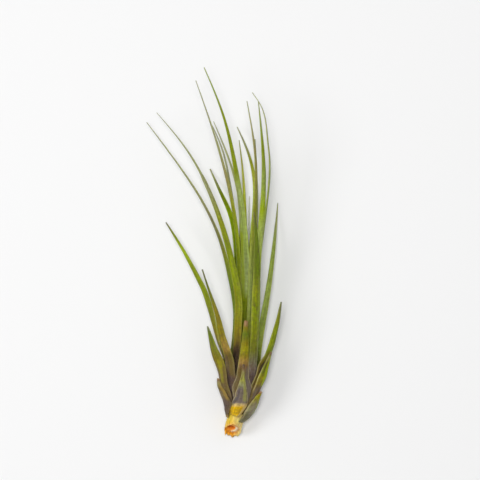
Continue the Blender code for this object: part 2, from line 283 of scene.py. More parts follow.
def leafSections(leaf):
    # the rows of a leaf from its sheath's lower end to its tip
    azimuth, _, shell, _, leavesAt = leaf["sheath"]
    width, tipWidth, taper, face = leaf["blade"]
    start = sheathStart(shell)
    clear = bulb["levelSpacing"]
    between = [level for level in bulb["levels"] if start + clear < level < leavesAt - clear]
    levels = [start, *between, leavesAt][-bulb["levelsInCurve"]:]
    rows = max(bulb["fewestRows"], round((leavesAt - start) / blade["rowStep"]))
    sections = []
    for level in np.linspace(start, leavesAt, rows):
        joined = 1 - ease((level - start) / bulb["joinsOver"])
        sections.append(joinStem(sheathSection(leaf, start, level), joined))
    curve = SmoothCurve([sheathSection(leaf, start, level)["centre"] for level in levels]
                        + [np.array(point) for point in leaf["way"]])
    bladeStart = curve.at[len(levels) - 1]
    length = curve.at[-1] - bladeStart
    count = max(blade["fewestRows"], round(length / blade["rowStep"]))
    firstCurl = sections[-1]["curl"]
    # unbroken tips run out finer than the solids can
    tipFineness = 1.0 if "torn" in leaf else leaf.get("fine", blade["tipFineness"])
    for i in range(1, count + 1):
        share = i / count
        centre = curve.point(bladeStart + share * length)
        along = curve.direction(bladeStart + share * length)
        outward = radial(along, mix(azimuth, face, ease(share / blade["faceTurnShare"])))
        fine = mix(1.0, tipFineness, share ** blade["finenessPower"])
        across = fine * mix(tipWidth, width, max(0.0, 1 - share) ** taper)
        if "pinched" in leaf:
            pinchedFrom, pinch, pinchedOver = leaf["pinched"]
            across *= mix(1.0, pinch, ease((centre[1] - pinchedFrom) / pinchedOver))
        opened = ease(share * length / blade["curlLength"])
        thickness = blade["thickness"] + blade["thicknessPerWidth"] * across
        thickness = fine * mix(bulb["sheathThickness"], thickness, opened)
        curl = mix(firstCurl, math.radians(blade["curl"]), opened)
        tuck = leaf.get("tuck", bulb["tuck"]) * (1 - opened)
        sections.append(makeSection(centre, along, outward, across, curl, thickness, tuck))
    return sections


# Geometry Nodes make a channelled leaf that follows its spine
def makeLeafTree():
    tree = bpy.data.node_groups.new("channelledLeaf", "GeometryNodeTree")
    add = partial(addNode, tree)
    sockets = {
        "Spine": "Geometry", "Points round": "Int", "Wave height": "Float", "Wave length": "Float",
        "Torn end": "Float", "Floor": "Float", "Seed": "Float", "Skin": "Material",
    }
    for name, kind in sockets.items():
        tree.interface.new_socket(name, in_out="INPUT", socket_type="NodeSocket" + kind)
    tree.interface.new_socket("Leaf", in_out="OUTPUT", socket_type="NodeSocketGeometry")
    given = add("NodeGroupInput").outputs
    spine = given["Spine"]
    sizes = add("GeometryNodeAttributeDomainSize", {"Geometry": spine}, component="MESH")
    count = sizes.outputs["Point Count"]
    # one row more at each end closes the leaf to a point
    rows = add("ADD", count, 2)
    columns = add("ADD", given["Points round"], 1)
    grid = add("GeometryNodeMeshGrid", {"Vertices X": columns, "Vertices Y": rows})
    index = add("GeometryNodeInputIndex")
    column = add("DIVIDE", add("ADD", index, 0.5), rows)
    column = add("FLOOR", column)
    row = add("SUBTRACT", index, add("MULTIPLY", column, rows))
    row = add("SUBTRACT", row, 1)
    lastRow = add("SUBTRACT", count, 1)
    spineRow = add("MINIMUM", add("MAXIMUM", row, 0), lastRow)
    closed = add("ABSOLUTE", add("SUBTRACT", row, spineRow))
    isOpen = add("SUBTRACT", 1, closed)

    # what the spine stores, read at the row's own point
    at = {"position": add("GeometryNodeInputPosition")}
    vectors = ("position", "across", "outward", "forward")
    for name in (*vectors, "curl", "width", "thickness", "tuck", "fromBase"):
        kind = "FLOAT_VECTOR" if name in vectors else "FLOAT"
        if name not in at:
            at[name] = add("GeometryNodeInputNamedAttribute", {"Name": name}, data_type=kind)
        inputs = {"Geometry": spine, "Value": at[name], "Index": spineRow}
        at[name] = add("GeometryNodeSampleIndex", inputs, data_type=kind)

    # round the section: the outer face first, then back along the channel
    angle = add("DIVIDE", column, given["Points round"])
    angle = add("MULTIPLY", angle, 2 * math.pi)
    side = add("MULTIPLY", add("COSINE", angle), -1)
    inner = add("MULTIPLY", add("SINE", angle), -1)
    inner = add("MAXIMUM", inner, 0)
    radius = add("MULTIPLY", at["width"], 0.5)
    radius = add("DIVIDE", radius, add("SINE", at["curl"]))
    turn = add("MULTIPLY", side, at["curl"])
    sideways = add("MULTIPLY", radius, add("SINE", turn))
    sideways = add("MULTIPLY", sideways, isOpen)
    fall = add("SUBTRACT", 1, add("COSINE", turn))
    fall = add("MULTIPLY", radius, fall)
    wall = add("POWER", inner, blade["channelPower"])
    depth = add("ADD", fall, add("MULTIPLY", at["thickness"], wall))
    # the margins of a sheath lie against the one below
    margin = add("POWER", add("ABSOLUTE", side), blade["tuckPower"])
    depth = add("ADD", depth, add("MULTIPLY", at["tuck"], margin))
    depth = add("MULTIPLY", depth, isOpen)
    endDepth = add("MULTIPLY", add("MULTIPLY", at["thickness"], 0.5), closed)
    depth = add("ADD", depth, endDepth)

    # margins wave a little
    waveX = add("MULTIPLY", side, blade["waveAcross"])
    waveY = add("DIVIDE", at["fromBase"], given["Wave length"])
    waveAt = add("CombineXYZ", waveX, waveY, given["Seed"])
    wave = add("TexNoise", {"Vector": waveAt, "Scale": 1.0, "Detail": 1.0})
    wave = add("SUBTRACT", wave, 0.5)
    for factor in (given["Wave height"], side, side, isOpen):
        wave = add("MULTIPLY", wave, factor)
    # a torn end is ragged over its last rows
    tearX = add("MULTIPLY", side, blade["tearAcross"])
    tearAt = add("CombineXYZ", tearX, inner, given["Seed"])
    tear = add("TexNoise", {"Vector": tearAt, "Scale": 1.0, "Detail": 2.0})
    tear = add("SUBTRACT", tear, blade["tearMiddle"])
    nearEnd = add("SUBTRACT", lastRow, spineRow)
    nearEnd = add("SUBTRACT", 1, add("MULTIPLY", nearEnd, blade["tearFade"]))
    for factor in (given["Torn end"], add("MAXIMUM", nearEnd, 0)):
        tear = add("MULTIPLY", tear, factor)

    place = at["position"]
    lift = add("SUBTRACT", wave, depth)
    for name, size in (("across", sideways), ("outward", lift), ("forward", tear)):
        moved = add("VectorMath", {0: at[name], "Scale": size}, operation="SCALE")
        place = add("VectorMath", place, moved, operation="ADD")
    x, y, z = add("SeparateXYZ", place).outputs
    place = add("CombineXYZ", x, y, add("MAXIMUM", z, given["Floor"]))
    shape = add("GeometryNodeSetPosition", {"Geometry": grid, "Position": place})
    for name, value in (("side", side), ("inner", inner), ("fromBase", at["fromBase"])):
        inputs = {"Geometry": shape, "Name": name, "Value": value}
        shape = add("GeometryNodeStoreNamedAttribute", inputs, data_type="FLOAT", domain="POINT")
    for kind, inputs in (
        ("MergeByDistance", {"Distance": blade["mergeWithin"] * mm}),
        ("SetShadeSmooth", {}),
        ("RealizeInstances", {}),
        ("SetMaterial", {"Material": given["Skin"]}),
    ):
        shape = add("GeometryNode" + kind, {"Geometry": shape, **inputs})
    add("NodeGroupOutput", {"Leaf": shape})
    return tree


def settle(piece):
    # the result of the modifiers becomes the piece's own plain mesh
    bpy.context.view_layer.update()
    shaped = piece.evaluated_get(bpy.context.evaluated_depsgraph_get())
    mesh = bpy.data.meshes.new_from_object(shaped)
    piece.modifiers.clear()
    piece.data = mesh
    mesh.set_sharp_from_angle(angle=math.radians(blade["sharpFrom"]))
    return piece


def setStops(ramp, stops):
    elements = ramp.color_ramp.elements
    for i, (position, code) in enumerate(stops):
        element = elements[i] if i < 1 else (elements[-1] if i == len(stops) - 1 else elements.new(position))
        element.position = position
        element.color = linearColour(code)


# The tones of the living skin, used by name in the leaves below. The lit, milky, lime and channel greens are
# lightened greens, painted light where leaves lie low or deep in the shade of others; the near-black tone is
# partly a sheath's own dark brown and partly painted shade.
tones = {
    "violetGrey": "7a6c60", "violetDark": "5c4d49", "brownSheath": "6a5a36", "umber": "3a2a16",
    "barkOlive": "5e4e1a", "yellowBase": "d3a800", "creamBase": "dfc75e", "beigeBase": "c9b074",
    "amber": "997c34", "yellowOlive": "918c0a", "olive": "818714", "duskOlive": "70741c",
    "leafGreen": "7b880c", "deepGreen": "6b7e00", "shadeGreen": "566200", "softGreen": "889844",
    "greyGreen": "8d9a56", "paleOlive": "949866", "brownOlive": "8a8250", "moss": "8c8d61",
    "ashTip": "98977c", "dustTip": "9c9a88", "plumBrown": "76583c", "redBrown": "8a5638", "tan": "b8976a",
    "lavender": "9d9a94", "yellowGreen": "97963f", "slate": "6f635a", "mauveBrown": "6e5b36",
    "slateDark": "504a50", "creamEdge": "d2c38c", "tawnyOlive": "7e7210", "mossDark": "757250",
    "forest": "637416", "acidGreen": "94a200", "litGreen": "b0c050", "freshGreen": "90a212",
    "milkyGreen": "9eae56", "greyMoss": "a4a27c", "limeOlive": "a9ad3c", "channelGreen": "a6b46c",
    "vividGreen": "8ca200", "paleLilac": "c6c5be", "soot": "1e1408", "driedTip": "94744e",
    "darkTip": "6e7058", "duskPurple": "4f3e34",
}

skinLook = {
    "mottleColour": "5d4736",
    "scaleColour": "aaa07c",
    # the blade margin colour is painted light along the thin edges
    "litMarginColour": "a9aa4c",
    "sheathMarginColour": "a08f5c",
    "channelColour": "7f9440",
    "scalesPerMetre": 3200,
    "sheathTop": 14.0,
    "sheathFull": -4.0,
    # cells across half a blade ("side") and per metre along it, shift of the seed, detail
    "patterns": {
        "streaks": ("side", 5, "fromBase", 60, 0, 2.0),
        "bars": ("side", 1.3, "fromBase", 640, 5, 2.0),
        "mottle": ("side", 1.7, "fromBase", 420, 3, 4.0),
        "drift": ("fromBase", 190, "side", 1.5, 11, 2.0),
        "wrinkles": ("side", 1.1, "fromBase", 1500, 7, 2.0),
    },
    # the share on a blade, and what a sheath adds to it
    "shares": {
        "mottle": (0.14, 0.32), "margin": (0.45, -0.25), "scales": (0.05, 0.09), "wrinkles": (0.12, 0.9),
    },
    # the range of the noise over which each one shows, and the range that it gives
    "streakLight": (0.32, 0.68, 0.7, 1.26),
    "barLight": (0.34, 0.66, 0.86, 1.14),
    "mottleShows": (0.48, 0.66),
    "scaleShows": (0.5, 0.72),
    "bandDrift": 0.35,
    "bandFade": 1.6,
    "bandCore": 0.4,
    "marginPower": 7,
    "channelShare": 0.3,
    "streakRelief": 0.5,
    "scaleRelief": 0.22,
    "reliefDepth": 0.16,
    "roughness": (0.46, 0.66),
}


def leafSkin(name, leaf, seed):
    # leaf skin, matt to satin: silvery scales, purple-brown mottling and fine wrinkles across the sheath
    material, tree, shader = newFinish(name, {
        "Specular IOR Level": 0.07, "Sheen Weight": 0.03, "Sheen Roughness": 0.5,
        "Subsurface Weight": 0.35, "Subsurface Radius": (0.7, 1.0, 0.2), "Subsurface Scale": 1.2 * mm,
    })
    add = partial(addNode, tree)
    place = add("TexCoord").outputs["Object"]
    height = add("SeparateXYZ", place).outputs["Y"]
    at = {label: add("Attribute", attribute_name=label).outputs["Fac"]
          for label in ("side", "inner", "fromBase")}
    first, last = min(leaf["tones"]), max(leaf["tones"])
    colour = add("MapRange", height, first * mm, last * mm)
    colour = add("ValToRGB", colour)
    setStops(colour, [((y - first) / (last - first), tones[tone]) for y, tone in leaf["tones"].items()])
    limits = skinLook["sheathTop"] * mm, skinLook["sheathFull"] * mm
    inSheath = add("MapRange", height, *limits)
    patterns = {}
    for label, (xFrom, xCells, yFrom, yCells, shift, detail) in skinLook["patterns"].items():
        x = add("MULTIPLY", at[xFrom], xCells)
        y = add("MULTIPLY", at[yFrom], yCells)
        spot = add("CombineXYZ", x, y, seed + shift)
        inputs = {"Vector": spot, "Scale": 1.0, "Detail": detail}
        patterns[label] = add("TexNoise", inputs)
    shares = {}
    for label, (onBlade, inSheathMore) in skinLook["shares"].items():
        more = add("MULTIPLY", inSheath, inSheathMore)
        shares[label] = add("ADD", more, leaf.get(label, onBlade))
    # long streaks lighten and darken the skin, and rows of scales make faint bars across the blade
    streaks = add("MapRange", patterns["streaks"], *skinLook["streakLight"])
    bars = add("MapRange", patterns["bars"], *skinLook["barLight"])
    light = add("MULTIPLY", streaks, bars)
    colour = add("HueSaturation", {"Value": light, "Color": colour}).outputs[0]
    mottle = add("MapRange", patterns["mottle"], *skinLook["mottleShows"])
    mottle = add("MULTIPLY", mottle, shares["mottle"])
    layers = [(mottle, linearColour(skinLook["mottleColour"]))]
    # bands and blotches of another tone, each at its place across and along the leaf
    drift = add("SUBTRACT", patterns["drift"], 0.5)
    drift = add("MULTIPLY", drift, skinLook["bandDrift"])
    drifted = add("ADD", at["side"], drift)
    for middle, halfWidth, tone, strength, low, high in leaf.get("bands", []):
        away = add("ABSOLUTE", add("SUBTRACT", drifted, middle))
        share = add("MapRange", away, halfWidth, halfWidth * skinLook["bandCore"])
        share = add("MULTIPLY", share, strength)
        for end, fade in ((low, -skinLook["bandFade"]), (high, skinLook["bandFade"])):
            within = add("MapRange", height, (end + fade) * mm, end * mm)
            share = add("MULTIPLY", share, within)
        layers.append((share, linearColour(tones[tone])))
    # margins: a lighter yellow-green on the blade, painted light where the thin edge glows; fainter and dry
    # on the sheath
    edge = add("POWER", add("ABSOLUTE", at["side"]), skinLook["marginPower"])
    litEdge, dry = (linearColour(skinLook[label]) for label in ("litMarginColour", "sheathMarginColour"))
    inputs = {0: inSheath, 6: litEdge, 7: dry}
    edgeColour = add("Mix", inputs, data_type="RGBA").outputs[2]
    layers.append((add("MULTIPLY", edge, shares["margin"]), edgeColour))
    # silvery scales, far coarser than the real ones so that they show
    inputs = {"Vector": place, "Scale": skinLook["scalesPerMetre"], "Detail": 1.0}
    grains = add("TexNoise", inputs)
    grains = add("MapRange", grains, *skinLook["scaleShows"])
    dusted = add("MULTIPLY", grains, shares["scales"])
    layers.append((dusted, linearColour(skinLook["scaleColour"])))
    for share, tint in layers:
        colour = add("Mix", {0: share, 6: colour, 7: tint}, data_type="RGBA").outputs[2]
    if "deepChannel" in leaf:
        # the channel side is a little deeper in colour
        share = add("MULTIPLY", at["inner"], skinLook["channelShare"])
        inputs = {0: share, 6: colour, 7: linearColour(skinLook["channelColour"])}
        settings = {"data_type": "RGBA", "blend_type": "MULTIPLY"}
        colour = add("Mix", inputs, **settings).outputs[2]
    tree.links.new(colour, shader["Base Color"])
    relief = add("MULTIPLY", patterns["wrinkles"], shares["wrinkles"])
    for pattern, label in ((patterns["streaks"], "streakRelief"), (grains, "scaleRelief")):
        relief = add("ADD", relief, add("MULTIPLY", pattern, skinLook[label]))
    inputs = {"Strength": 0.8, "Distance": skinLook["reliefDepth"] * mm, "Height": relief}
    tree.links.new(add("Bump", inputs).outputs[0], shader["Normal"])
    roughness = add("MapRange", grains, 0, 1, *skinLook["roughness"])
    tree.links.new(roughness.outputs[0], shader["Roughness"])
    return material


# The leaves, from the lowest to the heart. "sheath" holds its azimuth, the turn of its lower end, its shell,
# its half angle and the level where it leaves the bulb; "blade" holds its width, the width at its tip,
# its taper and the side it faces; "way" runs to its tip. "bands" hold their middle and half width across,
# tone, strength and reach along Y. The tones stand at their places along Y. "torn" is how ragged the end is.
leaves = {}
# painted shade and light: the dark moss at its lower end is painted shade where it meets the stem, and the
# grey moss just above is painted light on its side away from the key lamp
leaves["leaf_right_lowest"] = {
    "sheath": (54, 13, "lowest", 44, -20.5), "blade": (10.6, 1.5, 1.1, 44),
    "way": [(10.2, -15.2, 18.2), (11.9, -11.9, 18.8)], "torn": 1.0,
    "bands": [(-0.93, 0.07, "creamEdge", 0.25, -26, -14), (0.2, 0.6, "yellowOlive", 0.7, -17, -13),
        (0.4, 0.25, "softGreen", 0.6, -24, -16), (-0.3, 0.4, "violetGrey", 0.5, -24, -18)],
    "tones": {-28: "mossDark", -24.5: "mossDark", -21.5: "greyMoss", -18: "brownOlive", -15: "yellowOlive",
        -13.4: "yellowOlive", -12.6: "redBrown", -11.6: "tan"},
}
leaves["leaf_left_lowest"] = {
    "sheath": (-72, -30, "lowest", 46, -12), "blade": (10.5, 1.4, 1.2, -70),
    "way": [(-12.0, -9.2, 17.4), (-12.4, -4.6, 18.3)], "torn": 1.2, "tuck": 1.0,
    "bands": [(0.8, 0.25, "amber", 0.6, -15, -8)],
    "tones": {-28: "brownOlive", -26: "amber", -24: "duskPurple", -17: "duskPurple", -14: "brownSheath",
        -10: "barkOlive", -7: "brownOlive", -5.5: "plumBrown", -4.4: "tan"},
}
leaves["leaf_under_lowest"] = {
    "sheath": (180, 0, "lowest", 26, -7), "blade": (7.0, 1.4, 0.8, 180),
    "way": [(0.9, 2.0, -0.1), (1.2, 8.0, 0.0), (2.0, 15.0, 0.8), (2.6, 22.0, 2.2)],
    "tones": {-28: "beigeBase", -22: "violetGrey", -8: "violetGrey", 4: "olive", 22: "moss"},
}
leaves["leaf_front_lowest"] = {
    "sheath": (0, -14, "a", 29, -11), "blade": (6.8, 1.1, 1.8, 4),
    "way": [(1.6, -3.0, 27.2), (1.9, 3.5, 28.5)], "torn": 1.2, "tuck": 0.6,
    "bands": [(0.55, 0.35, "yellowGreen", 0.6, -16, -6), (0.95, 0.07, "creamEdge", 0.42, -18, -5),
        (-0.95, 0.07, "creamEdge", 0.42, -16, -5), (-0.45, 0.22, "slateDark", 0.7, -16, -10),
        (-0.75, 0.2, "slateDark", 0.6, -18, -15), (0.9, 0.3, "beigeBase", 0.8, -27, -20)],
    "tones": {-27: "creamBase", -24: "yellowBase", -20.2: "yellowBase", -18.6: "beigeBase", -17.4: "slate",
        -10: "slate", -7.6: "moss", -5: "yellowGreen", -0.5: "brownOlive", 1.4: "plumBrown",
        3.5: "violetDark"},
}
leaves["leaf_right_short"] = {
    "sheath": (60, 0, "b", 28, -11), "blade": (9.2, 1.2, 1.1, 40),
    "way": [(12.8, -4.8, 20.2), (14.4, 0.6, 20.6), (17.1, 9.9, 20.6)], "torn": 1.0, "tuck": 0.7,
    "bands": [(-0.45, 0.35, "umber", 0.55, -3, 4), (0.3, 0.5, "acidGreen", 0.9, -8, 7),
        (-0.95, 0.07, "creamEdge", 0.42, -10, 1), (-0.6, 0.35, "slate", 0.6, -15, -10.5)],
    "tones": {-22: "mauveBrown", -14: "mauveBrown", -9: "mauveBrown", -6.5: "tawnyOlive", -4: "yellowOlive",
        -1: "leafGreen", 3: "duskOlive", 7.4: "brownOlive", 8.8: "plumBrown", 9.9: "plumBrown"},
}
leaves["leaf_front_broken"] = {
    "sheath": (0, 0, "b", 28, -1), "blade": (6.6, 2.1, 1.0, 4),
    "way": [(2.6, 12.0, 27.9), (3.0, 20.0, 28.6), (3.3, 27.1, 28.9)], "torn": 2.0, "tuck": 0.9,
    "bands": [(-0.95, 0.07, "creamEdge", 0.42, -13, 6), (0.95, 0.07, "creamEdge", 0.42, -8, 4),
        (-0.5, 0.6, "barkOlive", 0.8, -12, 1), (0.7, 0.35, "slate", 0.6, -16, 1)],
    "tones": {-23: "yellowBase", -19: "yellowBase", -16.5: "slate", -10: "slate", -5: "slate",
        -1: "brownSheath", 2: "plumBrown", 5.5: "amber", 8.5: "tawnyOlive", 11: "yellowOlive",
        15: "tawnyOlive", 20: "forest", 23.4: "tawnyOlive", 25: "driedTip", 27.4: "driedTip"},
}
leaves["leaf_left_short"] = {
    "sheath": (-68, -3, "a", 31, -5), "blade": (9.6, 0.8, 0.9, -42),
    "way": [(-12.2, 3.0, 18.0), (-14.6, 9.7, 17.6), (-16.5, 17.8, 16.4), (-17.9, 23.5, 15.2)],
    "mottle": 0.3, "tuck": 1.3, "fine": 1.0,
    "bands": [(0.4, 0.42, "yellowOlive", 0.5, -6, 5), (0.9, 0.2, "barkOlive", 0.6, -12, 3),
        (-0.5, 0.4, "barkOlive", 0.5, -1, 16)],
    "tones": {-25: "creamBase", -23: "yellowBase", -19.5: "yellowBase", -17: "duskPurple",
        -10: "brownSheath", -3: "mauveBrown", 2: "tawnyOlive", 6: "tawnyOlive", 12: "duskOlive",
        19: "forest", 23.5: "darkTip"},
}
leaves["leaf_under_right_short"] = {
    "sheath": (148, 0, "b", 19, -4), "blade": (5.0, 0.8, 0.8, 150),
    "way": [(7.8, 6.0, 4.0), (7.8, 15.0, 4.4), (7.5, 25.0, 5.0)],
    "tones": {-24: "violetGrey", -4: "violetGrey", 8: "olive", 25: "moss"},
}
leaves["leaf_under_left_short"] = {
    "sheath": (218, 0, "b", 19, -4), "blade": (5.0, 0.8, 0.8, 210),
    "way": [(-4.9, 6.0, 3.6), (-3.4, 15.0, 3.2), (-1.5, 25.0, 3.2)],
    "tones": {-24: "violetGrey", -4: "violetGrey", 8: "olive", 25: "moss"},
}
leaves["leaf_left_spotted"] = {
    "sheath": (-49, 0, "c", 29, 3), "blade": (7.9, 0.7, 1.7, -25),
    "way": [(-10.0, 16.5, 23.0), (-11.7, 25.7, 23.6), (-16.4, 41.8, 23.9), (-20.5, 54.5, 23.0)],
    "mottle": 0.5, "tuck": 0.6, "fine": 1.0,
    "bands": [(0.6, 0.4, "barkOlive", 0.7, -2, 9), (-0.6, 0.3, "olive", 0.5, 8, 30)],
    "tones": {-20: "violetDark", -3: "duskPurple", 3: "brownSheath", 8: "barkOlive", 12: "amber",
        20: "tawnyOlive", 32: "tawnyOlive", 39: "duskOlive", 47: "shadeGreen", 54: "darkTip"},
}
leaves["leaf_right_curved"] = {
    "sheath": (65, 0, "c", 34, 1), "blade": (6.6, 0.7, 0.8, 42),
    "way": [(14.6, 5.7, 17.8), (18.6, 16.5, 21.0), (21.0, 27.2, 23.7), (22.4, 37.0, 25.2)], "fine": 1.0,
    "bands": [(-0.94, 0.07, "creamEdge", 0.42, -9, 8), (-0.5, 0.35, "tawnyOlive", 0.6, 4, 10),
        (-0.1, 0.5, "umber", 0.55, -8, 4)],
    "tones": {-18: "brownSheath", -4: "barkOlive", 4: "barkOlive", 9: "forest", 14: "leafGreen",
        22: "leafGreen", 30: "duskOlive", 37: "darkTip"},
}
# painted light: the lit and milky greens lighten this low leaf, which lies in the shade of the leaves beside
# it
leaves["leaf_right_outer"] = {
    "sheath": (128, 0, "c", 21, 4), "blade": (4.8, 0.7, 0.75, 150),
    "way": [(12.4, 21.4, 9.2), (15.8, 43.1, 9.0), (18.6, 64.9, 6.6), (20.3, 83.0, 2.4), (20.9, 90.7, 0.0)],
    "tones": {-18: "brownSheath", 3: "duskOlive", 10: "litGreen", 27: "milkyGreen", 45: "milkyGreen",
        58: "softGreen", 66: "softGreen", 80: "paleOlive", 90.7: "moss"},
}
leaves["leaf_left_slim"] = {
    "sheath": (-100, 0, "c", 20, 4), "blade": (5.4, 0.7, 0.85, -35),
    "way": [(-11.0, 11.0, 13.8), (-13.2, 17.3, 14.3), (-19.5, 41.7, 17.0), (-24.6, 52.5, 17.6),
        (-29.8, 62.5, 17.4), (-40.4, 79.9, 15.6)],
    "fine": 0.9,
    "tones": {-18: "brownSheath", 8: "barkOlive", 20: "tawnyOlive", 30: "duskOlive", 42: "leafGreen",
        54: "leafGreen", 63: "freshGreen", 71: "leafGreen", 76: "duskOlive", 80: "darkTip"},
}
leaves["leaf_under_pale"] = {
    "sheath": (175, 0, "c", 13, 10), "blade": (2.6, 0.6, 0.6, 178),
    "way": [(4.6, 30.0, 6.4), (4.9, 56.8, 6.6), (4.8, 73.1, 5.8), (5.2, 94.5, 3.4)],
    "tones": {-15: "brownSheath", 40: "duskOlive", 60: "lavender", 80: "paleLilac", 94.5: "paleLilac"},
}
leaves["leaf_under_middle"] = {
    "sheath": (212, 0, "c", 15, 4), "blade": (4.4, 0.7, 0.7, 200),
    "way": [(-2.8, 20.0, 6.7), (-1.9, 40.0, 5.6), (-1.5, 58.0, 3.2)],
    "tones": {-18: "brownSheath", 5: "duskOlive", 30: "leafGreen", 58: "moss"},
}
leaves["leaf_front_spotted"] = {
    "sheath": (34, 0, "d", 27, 38), "blade": (5.2, 0.8, 0.7, 22),
    "way": [(9.4, 54.2, 28.8), (9.2, 65.0, 29.8), (8.5, 76.0, 30.3), (7.5, 85.5, 30.2)], "mottle": 0.4,
    "bands": [(0.85, 0.18, "paleOlive", 0.7, 3, 18), (-0.5, 0.5, "shadeGreen", 0.5, 50, 80),
        (0.5, 0.25, "softGreen", 0.4, 14, 50)],
    "tones": {-22: "violetDark", -3: "violetDark", 1: "violetGrey", 5.5: "mossDark", 11: "duskOlive",
        20: "olive", 32: "leafGreen", 43: "olive", 54: "forest", 66: "forest", 76: "forest",
        85.5: "mossDark"},
}
# painted shade: the lower sheath of this leaf is painted near black up to the umber, partly its own dark
# brown and partly painted shade where it lies deep between its neighbours' sheaths
leaves["leaf_left_broad"] = {
    "sheath": (-27, 0, "d", 26, 34), "blade": (4.5, 0.7, 1.15, -15),
    "way": [(-3.8, 54.3, 28.6), (-6.2, 65.0, 28.6), (-9.1, 75.8, 28.2), (-17.0, 97.4, 25.2),
        (-27.0, 116.4, 20.8), (-45.3, 139.6, 15.0)],
    "mottle": 0.3, "pinched": (103.0, 0.7, 4.0), "scales": 0.0,
    "bands": [(0.5, 0.4, "umber", 0.6, 4, 10), (-0.55, 0.3, "tawnyOlive", 0.5, 14, 45)],
    "tones": {-20: "soot", 8: "soot", 12: "umber", 15: "barkOlive", 22: "tawnyOlive", 34: "olive",
        54: "leafGreen", 66: "leafGreen", 81: "olive", 97: "moss", 112: "paleOlive", 139.6: "ashTip"},
}
leaves["leaf_left_resting"] = {
    "sheath": (210, 0, "d", 19, 30), "blade": (5.2, 0.7, 0.75, 190),
    "way": [(-1.2, 51.0, 10.2), (-2.4, 70.4, 8.4), (-5.5, 84.6, 5.9), (-9.3, 93.4, 3.6),
        (-16.5, 109.4, 0.0)],
    "deepChannel": True, "scales": 0.0, "fine": 0.75,
    "tones": {-18: "brownSheath", 30: "shadeGreen", 56: "deepGreen", 66: "vividGreen", 86: "vividGreen",
        96: "leafGreen", 103: "moss", 109.4: "greyMoss"},
}
# painted light: the lit greens and the lime olive along its middle lighten this low leaf, which lies in the
# shade of those above it
leaves["leaf_under_right_long"] = {
    "sheath": (165, 0, "d", 19, 30), "blade": (4.4, 0.7, 0.8, 170),
    "way": [(6.4, 57.0, 10.6), (7.3, 76.0, 10.2), (8.2, 99.0, 9.2), (4.9, 117.0, 6.6), (-1.6, 132.4, 3.0)],
    "fine": 0.7,
    "tones": {-18: "brownSheath", 30: "shadeGreen", 68: "leafGreen", 78: "litGreen", 92: "litGreen",
        104: "limeOlive", 113: "olive", 122: "moss", 132.4: "ashTip"},
}
leaves["leaf_right_broad"] = {
    "sheath": (48, 0, "e", 24, 38), "blade": (5.2, 0.7, 0.9, 25),
    "way": [(10.2, 56.0, 25.4), (11.2, 72.0, 27.3), (12.7, 92.0, 30.5), (12.8, 113.0, 32.8),
        (12.0, 124.0, 33.3), (9.9, 144.8, 32.0)],
    "tones": {-18: "brownSheath", 20: "olive", 55: "freshGreen", 70: "milkyGreen", 76: "milkyGreen",
        86: "freshGreen", 103: "softGreen", 120: "leafGreen", 135: "greyGreen", 144.8: "moss"},
}
leaves["leaf_left_fine"] = {
    "sheath": (195, 0, "e", 12, 32), "blade": (2.4, 0.6, 0.7, 185),
    "way": [(1.2, 52.0, 11.9), (0.6, 68.0, 13.0), (-0.2, 90.0, 16.6), (-4.1, 108.3, 20.5),
        (-14.3, 134.3, 24.0)],
    "tones": {-18: "brownSheath", 40: "olive", 90: "olive", 110: "paleOlive", 134.3: "ashTip"},
}
leaves["leaf_centre_fine"] = {
    "sheath": (165, 0, "e", 12, 32), "blade": (2.6, 0.6, 0.6, 172),
    "way": [(4.0, 52.0, 12.8), (3.1, 70.0, 14.8), (2.5, 92.0, 17.8), (0.9, 113.7, 20.0),
        (-0.5, 124.5, 20.3)],
    "tones": {-18: "brownSheath", 40: "leafGreen", 80: "acidGreen", 98: "limeOlive", 112: "yellowGreen",
        124.5: "moss"},
}
leaves["leaf_left_far"] = {
    "sheath": (-54, 0, "f", 17, 28), "blade": (5.0, 0.7, 1.9, -50),
    "way": [(-5.8, 48.8, 20.6), (-11.3, 70.4, 20.8), (-21.6, 92.6, 20.0), (-32.5, 109.4, 18.5),
        (-50.8, 134.2, 15.0)],
    "tones": {-14: "brownSheath", 28: "forest", 38: "forest", 49: "forest", 64: "duskOlive", 83: "mossDark",
        100: "moss", 134.2: "ashTip"},
}
leaves["leaf_right_slim"] = {
    "sheath": (97, 0, "f", 22, 34), "blade": (3.4, 0.7, 0.8, 75),
    "way": [(11.4, 59.6, 20.6), (13.1, 75.0, 23.7), (15.2, 92.0, 28.0), (16.3, 113.0, 31.8),
        (15.2, 124.0, 32.4), (12.0, 141.3, 30.6), (6.7, 149.7, 29.0)],
    "tones": {-14: "brownSheath", 40: "olive", 80: "softGreen", 105: "greyGreen", 128: "paleOlive",
        149.7: "dustTip"},
}
leaves["leaf_left_finest"] = {
    "sheath": (210, 0, "f", 10, 32), "blade": (1.8, 0.6, 0.5, 200),
    "way": [(-0.4, 52.0, 14.2), (-1.6, 70.0, 15.4), (-3.9, 90.0, 16.6), (-6.0, 103.0, 17.6),
        (-9.9, 120.0, 18.8), (-15.1, 132.3, 20.0)],
    "tones": {-14: "brownSheath", 40: "olive", 90: "paleOlive", 132.3: "dustTip"},
}
